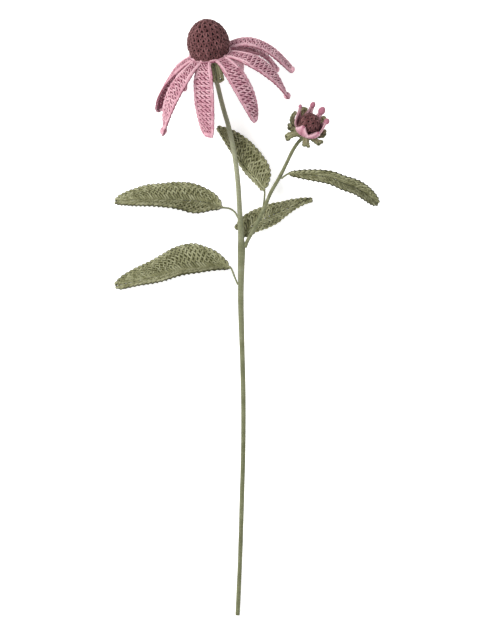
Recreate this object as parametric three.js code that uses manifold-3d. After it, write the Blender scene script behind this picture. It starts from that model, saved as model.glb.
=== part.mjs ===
// Crocheted coneflower stem lying on a table: a bloom and a bud on wrapped wire, with five crocheted leaves.
// Millimetres. The stem runs along +Y from its cut end to the bloom, +Z is up from the table at Z = 0.
import * as THREE from 'three';
import { mergeVertices } from 'three/addons/utils/BufferGeometryUtils.js';
import Module from 'manifold-3d';

const wasm = await Module();
wasm.setup();

// Driving sizes
const GAP = 0.3;
const MAIN_WIRE = 0.8;
const THIN_WIRE = 0.6;
const BRANCH_WRAP = 1.35;
const WRAP_SIDES = 8;
const WIRE_SIDES = 6;
const BLADE_THICK = 2.7;
const PETAL_THICK = 2.3;
const TABLE_CLEAR = 1.5;

// Finishes
const COTTON = 0.9;
const finishes = {
  steel: new THREE.MeshStandardMaterial({ color: '#8e908e', roughness: 0.4, metalness: 1 }),
  stemYarn: new THREE.MeshStandardMaterial({ color: '#8a8c6a', roughness: COTTON, metalness: 0 }),
  leafYarn: new THREE.MeshStandardMaterial({ color: '#7f7f60', roughness: COTTON, metalness: 0 }),
  pinkYarn: new THREE.MeshStandardMaterial({ color: '#c994a2', roughness: COTTON, metalness: 0 }),
  coneYarn: new THREE.MeshStandardMaterial({ color: '#633f3e', roughness: COTTON, metalness: 0 }),
  filling: new THREE.MeshStandardMaterial({ color: '#ece8e0', roughness: 1, metalness: 0 }),
};

// Solids and meshes

function toSolid(geometry) {
  const bare = new THREE.BufferGeometry();
  bare.setAttribute('position', geometry.getAttribute('position'));
  bare.setIndex(geometry.index);
  const merged = mergeVertices(bare, 1e-4);
  const vertProperties = new Float32Array(merged.getAttribute('position').array);
  const triVerts = new Uint32Array(merged.index.array);
  return new wasm.Manifold(new wasm.Mesh({ numProp: 3, vertProperties, triVerts }));
}

function toGeometry(solid) {
  const { vertProperties, triVerts } = solid.getMesh();
  const geometry = new THREE.BufferGeometry();
  geometry.setAttribute('position', new THREE.BufferAttribute(new Float32Array(vertProperties), 3));
  geometry.setIndex(new THREE.BufferAttribute(new Uint32Array(triVerts), 1));
  geometry.computeVertexNormals();
  return geometry;
}

function piece(name, solid, material, group) {
  const mesh = new THREE.Mesh(toGeometry(solid), material);
  mesh.name = name;
  group.add(mesh);
}

function indexed(points, index) {
  const geometry = new THREE.BufferGeometry();
  geometry.setAttribute('position', new THREE.Float32BufferAttribute(points.flatMap((p) => p.toArray()), 3));
  geometry.setIndex(index);
  return geometry;
}

const smoothCurve = (points) => new THREE.CatmullRomCurve3(points.map((p) => new THREE.Vector3(...p)));

// A closed tube round a curve, with flat ends and two steps from each of the curve's points to the next.
// radiusAt gives the radius at a point of the curve, and the ends reach past the curve's by the overrun.
function tube(curve, radiusAt, sides, overrun = 0) {
  const steps = 2 * (curve.points.length - 1);
  const pushes = { 0: -overrun, [steps]: overrun };
  const centreAt = (i) => {
    const t = i / steps;
    return curve.getPoint(t).addScaledVector(curve.getTangent(t), pushes[i] ?? 0);
  };
  const points = [];
  const index = [];
  for (let i = 0; i <= steps; i += 1) {
    const centre = centreAt(i);
    const tangent = curve.getTangent(i / steps);
    const up = new THREE.Vector3(0, 0, 1).addScaledVector(tangent, -tangent.z).normalize();
    const side = new THREE.Vector3().crossVectors(tangent, up);
    for (let k = 0; k < sides; k += 1) {
      const angle = (2 * Math.PI * k) / sides;
      const out = up.clone().multiplyScalar(Math.cos(angle)).addScaledVector(side, Math.sin(angle));
      points.push(out.multiplyScalar(radiusAt(centre)).add(centre));
    }
  }
  const start = points.push(centreAt(0)) - 1;
  const end = points.push(centreAt(steps)) - 1;
  for (let k = 0; k < sides; k += 1) {
    const next = (k + 1) % sides;
    for (let i = 0; i < steps; i += 1) {
      const [a, b] = [i * sides + k, i * sides + next];
      index.push(a, b, b + sides, a, b + sides, a + sides);
    }
    index.push(start, next, k, end, steps * sides + k, steps * sides + next);
  }
  return toSolid(indexed(points, index));
}

// A closed solid of revolution about Z with stitch relief. profile(t) gives [radius, height] from the rim
// at t = 0 to the top at t = 1, and relief(i, k) moves a point of ring i out from the axis.
function dome(profile, rings, sides, relief = () => 0) {
  const points = [];
  const index = [];
  for (let i = 0; i < rings; i += 1) {
    const [radius, height] = profile(i / rings);
    for (let k = 0; k < sides; k += 1) {
      const angle = (2 * Math.PI * k) / sides;
      const reach = radius + (i > 0 ? relief(i, k) : 0);
      points.push(new THREE.Vector3(reach * Math.cos(angle), reach * Math.sin(angle), height));
    }
  }
  const bottom = points.push(new THREE.Vector3(0, 0, profile(0)[1])) - 1;
  const top = points.push(new THREE.Vector3(0, 0, profile(1)[1])) - 1;
  const last = (rings - 1) * sides;
  for (let k = 0; k < sides; k += 1) {
    const next = (k + 1) % sides;
    for (let i = 0; i < rings - 1; i += 1) {
      const [a, b] = [i * sides + k, i * sides + next];
      index.push(a, b, b + sides, a, b + sides, a + sides);
    }
    index.push(bottom, next, k, top, last + k, last + next);
  }
  return toSolid(indexed(points, index));
}

// A round slab or plug about the Z axis, between two heights.
function disc(radius, low, high, sides) {
  const geometry = new THREE.CylinderGeometry(radius, radius, high - low, sides);
  geometry.rotateX(Math.PI / 2);
  geometry.translate(0, 0, (low + high) / 2);
  return toSolid(geometry);
}

// A crocheted sheet with rounded rows as relief. middle(s, q) is its middle surface, with s from the root
// to the tip and q from -1 to 1 across. Both faces are split into triangles alike, so they never cross.
function crochetSheet(middle, rows, cols, thick, ridge) {
  const columns = [...Array(cols + 1).keys()];
  const stations = [...Array(rows + 1).keys()];
  const grid = stations.map((i) => columns.map((j) => middle(i / rows, (2 * j) / cols - 1, i)));
  const top = [];
  const bottom = [];
  for (let i = 0; i <= rows; i += 1) {
    for (let j = 0; j <= cols; j += 1) {
      const along = grid[Math.min(i + 1, rows)][j].clone().sub(grid[Math.max(i - 1, 0)][j]);
      const across = grid[i][Math.min(j + 1, cols)].clone().sub(grid[i][Math.max(j - 1, 0)]);
      const normal = along.cross(across).normalize();
      const rowRidge = (j + cols / 2) % 2 === 0 ? ridge : -ridge;
      const stitch = (i + Math.floor(j / 2)) % 2 === 0 ? ridge / 2 : -ridge / 2;
      const half = thick / 2 + (i > 1 ? rowRidge + stitch : 0);
      top.push(grid[i][j].clone().addScaledVector(normal, half));
      bottom.push(grid[i][j].clone().addScaledVector(normal, -half));
    }
  }
  const width = cols + 1;
  const under = top.length;
  const index = [];
  const quad = (a, b, c, d) => index.push(a, b, c, a, c, d);
  for (let i = 0; i < rows; i += 1) {
    for (let j = 0; j < cols; j += 1) {
      const [a, b] = [i * width + j, (i + 1) * width + j];
      quad(a, b, b + 1, a + 1);
      quad(under + a, under + a + 1, under + b + 1, under + b);
    }
    const [left, right] = [i * width, i * width + cols];
    quad(left, under + left, under + left + width, left + width);
    quad(right, right + width, under + right + width, under + right);
  }
  const tip = rows * width;
  for (let j = 0; j < cols; j += 1) {
    quad(j, j + 1, under + j + 1, under + j);
    quad(tip + j, under + tip + j, under + tip + j + 1, tip + j + 1);
  }
  return toSolid(indexed([...top, ...bottom], index));
}

// A smooth value through stations of [position, value, ...], read from the given column.
function through(stations, column, at) {
  const last = stations.length - 1;
  let k = 0;
  while (k < last - 1 && stations[k + 1][0] < at) k += 1;
  const slope = (a, b) => (stations[b][column] - stations[a][column]) / (stations[b][0] - stations[a][0]);
  const step = stations[k + 1][0] - stations[k][0];
  const from = slope(Math.max(k - 1, 0), k + 1) * step;
  const to = slope(k, Math.min(k + 2, last)) * step;
  const t = (at - stations[k][0]) / step;
  const [a, b] = [stations[k][column], stations[k + 1][column]];
  const cubic = (2 * t ** 3 - 3 * t ** 2 + 1) * a + (3 * t ** 2 - 2 * t ** 3) * b;
  return cubic + (t ** 3 - 2 * t ** 2 + t) * from + (t ** 3 - t ** 2) * to;
}

// A flower head's own frame: Z out of the top of the bloom, X level and to the right, Y to the back.
function headGroup(origin, axis) {
  const up = new THREE.Vector3(...axis).normalize();
  const right = new THREE.Vector3(up.y, -up.x, 0).normalize();
  const back = new THREE.Vector3().crossVectors(up, right);
  const group = new THREE.Group();
  group.quaternion.setFromRotationMatrix(new THREE.Matrix4().makeBasis(right, back, up));
  group.position.set(...origin);
  group.updateMatrix();
  return group;
}

const BLOOM = { origin: [-28.1, 199, 48], axis: [-0.165, 0.85, 0.5] };
const BUD = { origin: [42.7, 138.3, 33.6], axis: [0.337, 0.662, 0.669] };
const bloom = headGroup(BLOOM.origin, BLOOM.axis);
const bud = headGroup(BUD.origin, BUD.axis);
const inHead = (group, x, y, z) => new THREE.Vector3(x, y, z).applyMatrix4(group.matrix).toArray();

// Wires and the yarn wrapped round them

const WIRE_UP_BLOOM = 12;
const WIRE_UP_BUD = 11;
const BLOOM_CALYX_FOOT = -5.4;
const BUD_CALYX_FOOT = 0.3;

const stemPoints = [
  [-7.5, -224.6, 1.8], [-6.5, -203.6, 3.5], [-5.3, -173.6, 5.8], [-4.2, -136.1, 8.8], [-3.2, -98.6, 11.8],
  [-3.1, -61.1, 14.8], [-4.0, -23.6, 17.7], [-4.5, -8, 19.0], [-5.0, 13.9, 20.7], [-4.8, 36.4, 22.5],
  [-4.5, 51.4, 23.7], [-4.9, 61.9, 24.5], [-5.8, 79.9, 25.9], [-7.2, 102.4, 27.3], [-9.5, 121.1, 28.4],
  [-13.9, 142.9, 29.9], [-17.6, 155.6, 31.0], [-20.2, 165.4, 32.6], [-22.4, 174.4, 35.0],
];
const NECK = -19;
const onBloomAxis = (height) => inHead(bloom, 0, 0, height);
const onBudAxis = (height) => inHead(bud, 0, 0, height);
const stemTop = [onBloomAxis(NECK), onBloomAxis(NECK / 2), onBloomAxis(BLOOM_CALYX_FOOT - GAP)];
const FORK_TOP = 58;
const BOUND_LENGTH = 68;
const SIDE_BY_SIDE = 0.75;

// Below the fork the two wires lie side by side, so the main wire leaves the middle of its wrap there.
const isBound = (y) => y < FORK_TOP - 4 && y > FORK_TOP - BOUND_LENGTH;
const mainWirePoints = stemPoints.map(([x, y, z]) => [isBound(y) ? x - SIDE_BY_SIDE : x, y, z]);
const mainWireTop = [...stemTop.slice(0, 2), onBloomAxis(0), onBloomAxis(WIRE_UP_BLOOM)];
const branchPoints = [
  [-3.6, -4, 19.3], [-4.05, 13.9, 20.7], [-3.95, 36.4, 22.5], [-3.5, 47, 23.4], [-1.9, 53.5, 24.0],
  [-0.2, 58.1, 24.4], [2.5, 63.1, 25.0], [8.2, 73.6, 26.3], [13.1, 84.1, 27.3], [17.5, 94.6, 27.9],
  [23.6, 105.2, 28.1], [28.9, 115.7, 28.1], [34.0, 126.2, 28.0], [37.6, 131.6, 28.9],
];
const BUD_NECK = -4;
const branchTop = [onBudAxis(BUD_NECK), onBudAxis(0)];
const branchWireTop = [...branchTop, onBudAxis(WIRE_UP_BUD)];

const stemCurve = smoothCurve([...stemPoints, ...stemTop]);
const mainWireCurve = smoothCurve([...mainWirePoints, ...mainWireTop]);
const branchCurve = smoothCurve([...branchPoints.slice(4), ...branchTop]);
const branchWireCurve = smoothCurve([...branchPoints, ...branchWireTop]);

// The wrap is thickest at the fork, where it binds both wires. Stations of [y, radius].
const wrapStations = [
  [-225, 1.7], [-120, 1.8], [-20, 1.95], [-5, 2.2], [25, 2.35], [42, 2.7], [52, 2.9], [59, 2.5], [72, 1.95],
  [110, 1.75], [200, 1.7],
];
const wrapRadius = ({ y }) => through(wrapStations, 1, y);
const stemOuter = tube(stemCurve, wrapRadius, WRAP_SIDES);
const stemClear = tube(stemCurve, (p) => wrapRadius(p) + GAP, WRAP_SIDES);
const mainBore = tube(mainWireCurve, () => MAIN_WIRE + GAP, WIRE_SIDES, GAP);
const branchBore = tube(branchWireCurve, () => THIN_WIRE + GAP, WIRE_SIDES, GAP);

// Leaves

const BLADE_ROWS = 20;
const BLADE_COLS = 8;
const SCALLOP = 0.5;
const WIRE_IN_BLADE = 8;
const BLADE_RIDGE = 0.25;
const FOLD_CURVE = 1.2;

// middle: the midrib from base to tip. halves: stations of [s, left, right], the widths seen from above on
// the left and right of the way to the tip. fold: how far each edge rises, as a share of the wider half.
const leaves = [
  {
    stalk: [[-7.2, 75.7, 25.6], [-9.2, 79.5, 26.2], [-13.1, 82.4, 26.8]],
    middle: [
      [-18.9, 83.4, 27], [-33.4, 87.4, 28.2], [-50.6, 88.7, 28.2], [-63.4, 88.9, 26.5],
      [-80.6, 89.1, 20.5], [-99.9, 88.3, 9],
    ],
    halves: [
      [0, 1.7, 1.7], [0.08, 4.2, 7.3], [0.17, 8, 10.4], [0.26, 9.2, 12.9], [0.39, 6.7, 13.8],
      [0.55, 4.9, 12.4], [0.66, 4.6, 11.5], [0.77, 4.2, 9.2], [0.88, 3.1, 6.8], [0.96, 2.4, 4],
      [1, 1.2, 1.2],
    ],
    fold: [0.7, 0.2],
  },
  {
    stalk: [[-7.2, 25.4, 21.6], [-9.6, 31, 22], [-11.5, 36, 22.3]],
    middle: [
      [-12.9, 38.3, 22.2], [-25.9, 38.8, 22.4], [-37.1, 37.7, 20.8], [-48.8, 36.4, 18],
      [-67.9, 31.5, 11.5], [-84.4, 28.1, 5.5], [-100.2, 24.6, 1.8],
    ],
    halves: [
      [0, 1.7, 1.7], [0.07, 1.8, 7.8], [0.15, 2.6, 13.6], [0.27, 3.2, 18.9], [0.4, 3.6, 18.4],
      [0.55, 4.2, 14.9], [0.66, 4.1, 12.8], [0.8, 3.5, 9.8], [0.9, 3.6, 7.2], [0.96, 3.4, 4.6],
      [1, 1.2, 1.2],
    ],
    fold: [0.45, 0.12],
  },
  {
    stalk: [[11.9, 84.3, 27.1], [12.6, 89.4, 26.6]],
    middle: [
      [12.6, 96.4, 25.6], [7.5, 103.2, 24.2], [0.3, 111.6, 22.2], [-6, 119.8, 20.4], [-12.3, 128, 18.6],
      [-17.8, 136.6, 16], [-23, 144.8, 12.8],
    ],
    halves: [
      [0, 1.7, 1.7], [0.1, 1.4, 10], [0.2, 2, 14.2], [0.35, 2.2, 15.7], [0.5, 1.5, 15.4],
      [0.65, 0.7, 14], [0.8, 0.5, 10.6], [0.92, 0.7, 5.4], [1, 1, 1],
    ],
    fold: [-0.6, -0.12],
  },
  {
    stalk: [[25.3, 104.9, 28.6], [27.8, 106.9, 29.1]],
    middle: [
      [31.1, 108.7, 29.5], [41.6, 107.8, 31], [62.6, 105.4, 31.5], [72.4, 101.2, 28.6],
      [82.1, 97.5, 24], [90.4, 92.6, 18], [98.3, 86.8, 11],
    ],
    halves: [
      [0, 1.7, 1.7], [0.07, 2.6, 2.3], [0.15, 3.7, 3.2], [0.3, 4.7, 4.5], [0.45, 5.1, 5.1],
      [0.6, 6.1, 4.8], [0.75, 6, 4.6], [0.88, 4.6, 4.2], [0.95, 3.2, 3.2], [1, 1.2, 1.2],
    ],
    fold: [0.7, 0.95],
  },
  {
    stalk: [[-4.6, 56.4, 22.1], [-3.9, 59, 20.4]],
    middle: [
      [-2.5, 61.9, 18.6], [4.2, 70.4, 17.8], [13.9, 75.8, 16.4], [28.1, 82.1, 12.6], [39.4, 86.7, 7.6],
      [49.6, 90.2, 2.6],
    ],
    halves: [
      [0, 8, 1.7], [0.04, 10, 2.6], [0.12, 10.2, 4.8], [0.26, 9.4, 7], [0.46, 8.6, 7.2],
      [0.6, 6.9, 4.7], [0.78, 4.9, 2.1], [0.9, 3.3, 1.4], [1, 1.2, 1.2],
    ],
    fold: [-0.25, -0.4],
  },
];

function bladeMiddle(curve, { halves, fold }) {
  return (s, q, station) => {
    const centre = curve.getPointAt(s);
    const tangent = curve.getTangentAt(s);
    const left = new THREE.Vector3(-tangent.y, tangent.x, 0).normalize();
    const up = new THREE.Vector3().crossVectors(tangent, left);
    const wide = Math.max(through(halves, 1, s), through(halves, 2, s));
    const side = q > 0 ? 0 : 1;
    const scallop = Math.abs(q) === 1 && station % 2 === 1 && s < 1 ? SCALLOP : 0;
    const reach = (through(halves, side + 1, s) + scallop) * q;
    const rise = fold[side] * wide * Math.abs(q) ** FOLD_CURVE;
    return centre.addScaledVector(left, reach).addScaledVector(up, rise);
  };
}

const root = new THREE.Group();
let stemWrap = stemOuter.subtract(mainBore).subtract(branchBore);
let branchWrap = tube(branchCurve, () => BRANCH_WRAP, WRAP_SIDES).subtract(branchBore).subtract(stemClear);

leaves.forEach((leaf, n) => {
  const curve = smoothCurve(leaf.middle);
  const inside = WIRE_IN_BLADE / curve.getLength();
  const ends = [0, inside / 2, inside].map((s) => curve.getPointAt(s).toArray());
  const wireCurve = smoothCurve([...leaf.stalk, ...ends]);
  const socket = tube(wireCurve, () => THIN_WIRE + GAP, WIRE_SIDES, GAP);
  const blade = crochetSheet(bladeMiddle(curve, leaf), BLADE_ROWS, BLADE_COLS, BLADE_THICK, BLADE_RIDGE);
  piece(`leaf_${n + 1}_blade`, blade.subtract(socket), finishes.leafYarn, root);
  piece(`leaf_${n + 1}_wire`, tube(wireCurve, () => THIN_WIRE, WIRE_SIDES), finishes.stemYarn, root);
  stemWrap = stemWrap.subtract(socket);
  branchWrap = branchWrap.subtract(socket);
});
piece('stem_wrap', stemWrap, finishes.stemYarn, root);
piece('branch_wrap', branchWrap, finishes.stemYarn, root);
piece('stem_wire', tube(mainWireCurve, () => MAIN_WIRE, WIRE_SIDES), finishes.steel, root);
piece('branch_wire', tube(branchWireCurve, () => THIN_WIRE, WIRE_SIDES), finishes.steel, root);

// Domes: a crocheted shell over a filling

// rim and belly are radii. The belly lies at the given height, reached at BELLY_SHARE of the way up.
const BELLY_SHARE = 0.3;
const POINTEDNESS = 1.05;
const domeProfile = ({ rim, belly, bellyHeight, height }, inset) => (t) => {
  if (t < BELLY_SHARE) {
    const share = t / BELLY_SHARE;
    return [rim + (belly - rim) * Math.sin((share * Math.PI) / 2) - inset, bellyHeight * share];
  }
  const angle = (((t - BELLY_SHARE) / (1 - BELLY_SHARE)) * Math.PI) / 2;
  const radius = (belly - inset) * Math.cos(angle) ** POINTEDNESS;
  return [radius, bellyHeight + (height - inset - bellyHeight) * Math.sin(angle)];
};

const SHELL_THICK = 2.4;
const FILLING_GAP = 0.36;
const STITCH_RELIEF = 0.35;
const FILLING_RINGS = 6;
const FILLING_SIDES = 16;
const stitchRelief = (i, k) => ((i + k) % 2 === 0 ? STITCH_RELIEF : -STITCH_RELIEF);

function stuffedDome(size, rings, sides, wireTop, names, foot, group) {
  const lift = (profile) => (t) => [profile(t)[0], profile(t)[1] + foot];
  const outer = dome(lift(domeProfile(size, 0)), rings, sides, stitchRelief);
  const hollow = dome(lift(domeProfile(size, SHELL_THICK)), FILLING_RINGS, FILLING_SIDES);
  const filling = dome(lift(domeProfile(size, SHELL_THICK + FILLING_GAP)), FILLING_RINGS, FILLING_SIDES);
  const hole = disc(MAIN_WIRE + GAP, foot - 1, wireTop + GAP, 6);
  piece(names[0], outer.subtract(hollow), finishes.coneYarn, group);
  piece(names[1], filling.subtract(hole), finishes.filling, group);
}

const cone = { rim: 14.5, belly: 15.8, bellyHeight: 6.5, height: 26.2 };
const budCore = { rim: 7.2, belly: 8.3, bellyHeight: 4, height: 13.4 };
stuffedDome(cone, 13, 36, WIRE_UP_BLOOM, ['cone_shell', 'cone_filling'], 0, bloom);

// Petals of the bloom, fused with the round that they are worked from

const bezier = (a, b, c, d, t) =>
  (1 - t) ** 3 * a + 3 * (1 - t) ** 2 * t * b + 3 * (1 - t) * t ** 2 * c + t ** 3 * d;

function polar(radius, degrees, height) {
  const angle = THREE.MathUtils.degToRad(degrees);
  return new THREE.Vector3(radius * Math.cos(angle), radius * Math.sin(angle), height);
}

const PETAL_ROOT = { radius: 13, height: -1.5 };
const PETAL_SCALLOP = 0.4;
const PETAL_CUP = 0.8;
const PETAL_RIDGE = 0.2;
const PETAL_ROWS = 12;
const PETAL_COLS = 6;
const PETAL_HALF_WIDTHS = [
  [0, 4.2], [0.14, 4.7], [0.3, 6.4], [0.5, 7.4], [0.7, 7.4], [0.86, 6.4], [0.95, 5.5], [1, 3.9],
];

// Petals as [azimuth at the root, azimuth at the tip, tip radius, tip height, early drop, slope of the tip],
// where the slope is the share of the reach that is left for the last third.
const petals = [
  [187, 169, 43.8, -45, 8, 0.06], [224, 212.5, 54, -45, 2, 0.06], [249, 245, 32, -55, 0, 0.06],
  [297, 303.5, 44, -45, -1.5, 0.06], [333, 339.7, 54, -40.8, 0, 0.06], [20, 7, 59.2, -33, -6, 0.2],
  [30, 23, 50.5, -36, 12, 0.06], [74, 56, 39.5, -36, 1, 0.06], [108, 98, 42, -42, 1, 0.06],
  [144, 134, 40, -42, 14, 0.06],
];

// A soft floor: points that would hang below the table lie along it instead.
const SOFTNESS = 3;
function layOnTable(point, group) {
  const world = point.applyMatrix4(group.matrix);
  const over = world.z - TABLE_CLEAR;
  const span = Math.hypot(over, SOFTNESS);
  world.z = TABLE_CLEAR + (over + span) / 2 - SOFTNESS ** 2 / (4 * span);
  return world.applyMatrix4(group.matrix.clone().invert());
}

function petalMiddle([rootAzimuth, tipAzimuth, tipRadius, tipHeight, drop, slope]) {
  const reach = tipRadius - PETAL_ROOT.radius;
  const spread = [PETAL_ROOT.radius, PETAL_ROOT.radius + reach / 2, tipRadius - reach * slope, tipRadius];
  const fall = [PETAL_ROOT.height, PETAL_ROOT.height - drop, tipHeight * 0.45, tipHeight];
  const turn = tipAzimuth - rootAzimuth;
  const line = (s) => polar(bezier(...spread, s), rootAzimuth + turn * s, bezier(...fall, s));
  return (s, q, station) => {
    const tangent = line(Math.min(s + 0.01, 1)).sub(line(Math.max(s - 0.01, 0))).normalize();
    const across = new THREE.Vector3(-tangent.y, tangent.x, 0).normalize();
    const out = new THREE.Vector3().crossVectors(tangent, across);
    const half = through(PETAL_HALF_WIDTHS, 1, s);
    const scallop = Math.abs(q) === 1 && station % 2 === 1 && s > 0.2 ? PETAL_SCALLOP : 0;
    const centre = line(s).addScaledVector(out, -PETAL_CUP * q * q);
    return layOnTable(centre.addScaledVector(across, (half + scallop) * q), bloom);
  };
}

const RING = { radius: 15.2, foot: -2.7, sides: 30 };
let bloomPetals = disc(RING.radius, RING.foot, -GAP, RING.sides);
petals.forEach((petal) => {
  const sheet = crochetSheet(petalMiddle(petal), PETAL_ROWS, PETAL_COLS, PETAL_THICK, PETAL_RIDGE);
  bloomPetals = bloomPetals.add(sheet);
});
const ringBore = disc(MAIN_WIRE + GAP, RING.foot - 1, 1, WRAP_SIDES);
piece('bloom_petals', bloomPetals.subtract(ringBore), finishes.pinkYarn, bloom);

// Calyx: a green round with sepal tabs. Tabs as [azimuth, tip radius, tip height].
const ROUND_SIDES = 24;
const TAB_ROWS = 6;
const TAB_COLS = 2;
const TAB_RIDGE = 0.1;
const TAB_OVERLAP = 2;
const TAB_HALF_WIDTHS = [[0, 2.1], [0.4, 2.3], [0.75, 2.9], [0.92, 2.4], [1, 1.4]];

function calyx(name, tabs, radius, low, high, bore, group) {
  const foot = (low + high) / 2;
  const start = radius - TAB_OVERLAP;
  let solid = disc(radius, low, high, ROUND_SIDES);
  tabs.forEach(([azimuth, tipRadius, tipHeight]) => {
    const reach = tipRadius - start;
    const spread = [start, start + reach * 0.95, tipRadius + 0.6, tipRadius];
    const rise = [foot, foot, foot + (tipHeight - foot) * 0.4, tipHeight];
    const across = polar(1, azimuth + 90, 0);
    const middle = (s, q) => {
      const centre = polar(bezier(...spread, s), azimuth, bezier(...rise, s));
      return centre.addScaledVector(across, through(TAB_HALF_WIDTHS, 1, s) * q);
    };
    solid = solid.add(crochetSheet(middle, TAB_ROWS, TAB_COLS, high - low - GAP, TAB_RIDGE));
  });
  piece(name, solid.subtract(disc(bore, low - GAP, high + GAP, WRAP_SIDES)), finishes.leafYarn, group);
}

// The sepals of the bloom are evenly spaced, and hang most on the side away from the table.
const SEPALS = 9;
const FIRST_SEPAL = 262;
const MOST_DROOP = 285;
const BLOOM_CALYX_RADIUS = 8;
const BLOOM_CALYX_TOP = RING.foot - GAP;
const bloomTabs = [...Array(SEPALS).keys()].map((n) => {
  const azimuth = FIRST_SEPAL + (360 / SEPALS) * n;
  const droop = (1 + Math.cos(THREE.MathUtils.degToRad(azimuth - MOST_DROOP))) / 2;
  return [azimuth, 15.5 - 4.5 * droop, -11 - 9 * droop];
});
calyx('bloom_calyx', bloomTabs, BLOOM_CALYX_RADIUS, BLOOM_CALYX_FOOT, BLOOM_CALYX_TOP, MAIN_WIRE + GAP, bloom);

// Bud: a pink cup with six short petals round a small dome, in a calyx of sepal loops

const BUD_CUP = { radius: 6.5, foot: 2.8, floor: 5 };
const BUD_SPREAD = { root: 4.5, swell: 13, close: 10.8 };
const BUD_RISE = { root: 3.9, swell: 3.6, close: 10 };
const BUD_PETAL_THICK = 2;
const BUD_HALF_WIDTHS = [[0, 3.2], [0.25, 5.6], [0.5, 6.3], [0.7, 4], [0.85, 2.5], [1, 1.6]];
const BUD_CALYX_RADIUS = 7;
const budPetals = [
  [165, 12.9, 21], [107, 12.4, 22.5], [65, 12, 22.5], [15, 11.2, 21], [-45, 13.2, 15], [-103, 13, 16.5],
];
let cup = disc(BUD_CUP.radius, BUD_CUP.foot, BUD_CUP.floor, ROUND_SIDES);
budPetals.forEach(([azimuth, tipRadius, tipHeight]) => {
  const middle = (s, q) => {
    const radius = bezier(BUD_SPREAD.root, BUD_SPREAD.swell, BUD_SPREAD.close, tipRadius, s);
    const height = bezier(BUD_RISE.root, BUD_RISE.swell, BUD_RISE.close, tipHeight, s);
    const turn = (through(BUD_HALF_WIDTHS, 1, s) * q) / Math.max(radius, BUD_CUP.radius);
    return polar(radius, azimuth + THREE.MathUtils.radToDeg(turn), height);
  };
  cup = cup.add(crochetSheet(middle, TAB_ROWS, TAB_COLS, BUD_PETAL_THICK, TAB_RIDGE));
});
const cupBore = disc(THIN_WIRE + GAP, BUD_CUP.foot - 1, BUD_CUP.floor + 1, WRAP_SIDES);
piece('bud_petals', cup.subtract(cupBore), finishes.pinkYarn, bud);
stuffedDome(budCore, 8, 20, WIRE_UP_BUD, ['bud_shell', 'bud_filling'], BUD_CUP.floor + GAP, bud);
const budTabs = [
  [20, 13.6, 6.5], [-17, 14.2, 3], [-69, 14.3, 1.5], [-133, 14.6, -2.5], [-163, 13.2, 3.5], [170, 13.8, 11],
  [128, 14.2, 12], [56, 14.4, 12],
];
calyx('bud_calyx', budTabs, BUD_CALYX_RADIUS, BUD_CALYX_FOOT, BUD_CUP.foot - GAP, THIN_WIRE + GAP, bud);

root.add(bloom, bud);

export default root;
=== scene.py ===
# Looks of a crocheted coneflower stem lying on a table: what shows of it is all looped or wrapped yarn.
# Shapes are worked out in millimetres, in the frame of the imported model, and scaled to metres in the meshes.
import math

import bpy
import numpy as np
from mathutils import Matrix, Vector


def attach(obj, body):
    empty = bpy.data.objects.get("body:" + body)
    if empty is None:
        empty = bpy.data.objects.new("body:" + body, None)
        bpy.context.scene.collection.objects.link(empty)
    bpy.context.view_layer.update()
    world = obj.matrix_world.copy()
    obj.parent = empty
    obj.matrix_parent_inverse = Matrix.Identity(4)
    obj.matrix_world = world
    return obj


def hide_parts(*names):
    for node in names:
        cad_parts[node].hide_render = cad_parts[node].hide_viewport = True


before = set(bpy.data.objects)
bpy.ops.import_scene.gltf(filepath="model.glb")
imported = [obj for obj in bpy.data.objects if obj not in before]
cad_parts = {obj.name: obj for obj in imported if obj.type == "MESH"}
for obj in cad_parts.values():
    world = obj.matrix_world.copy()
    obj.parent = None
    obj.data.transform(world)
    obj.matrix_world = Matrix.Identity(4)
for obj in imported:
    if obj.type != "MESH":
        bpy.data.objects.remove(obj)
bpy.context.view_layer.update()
rng = np.random.default_rng(seed=7)

MM = 0.001

# In millimetres: the widths of a stitch along its row, the radii of the yarn and how far a stitch strays
LEAF_STITCH = 3.8
PETAL_STITCH = 3.4
LEAF_YARN = 0.9
PETAL_YARN = 0.85
WOBBLE = 0.07


def placed(name, data):
    """A new object in the scene."""
    data.name = name
    made = bpy.data.objects.new(name, data)
    bpy.context.scene.collection.objects.link(made)
    return made


# Camera and lights. The lights' places are in metres.

SHOT_DISTANCE = 3000
SHOT_HEIGHT = 30
FIELD_HEIGHT = 480
SENSOR = 36
VIEW_CENTRE = (-2.25, -1.125)

camera_data = bpy.data.cameras.new("camera")
camera_data.sensor_width = SENSOR
camera_data.lens = SENSOR * SHOT_DISTANCE / FIELD_HEIGHT
camera_data.clip_start = 0.05
camera_data.clip_end = 20
camera = placed("camera", camera_data)
camera.location = Vector((*VIEW_CENTRE, SHOT_DISTANCE + SHOT_HEIGHT)) * MM
bpy.context.scene.camera = camera
bpy.context.scene.view_settings.view_transform = "Standard"
bpy.context.scene.view_settings.look = "None"


def area_light(name, place, aim, size, watts, tint):
    data = bpy.data.lights.new(name, "AREA")
    data.shape = "DISK"
    data.size = size
    data.energy = watts
    data.color = tint
    light = placed(name, data)
    light.location = place
    light.rotation_euler = (Vector(aim) - Vector(place)).to_track_quat("-Z", "Y").to_euler()


area_light("key", (-1.45, 0.7, 2.05), aim=(0, 0.05, 0), size=1.6, watts=58, tint=(1, 0.99, 0.965))
area_light("fill", (0.5, -1.8, 1.7), aim=(0, 0, 0), size=2.0, watts=26, tint=(0.98, 0.99, 1))

WHITE = (1, 1, 1, 1)
WORLD_LIGHT = 0.34

world = bpy.data.worlds.new("studio")
world.use_nodes = True
sky = world.node_tree.nodes["Background"].inputs
sky["Color"].default_value = WHITE
sky["Strength"].default_value = WORLD_LIGHT
bpy.context.scene.world = world

# Materials


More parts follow.
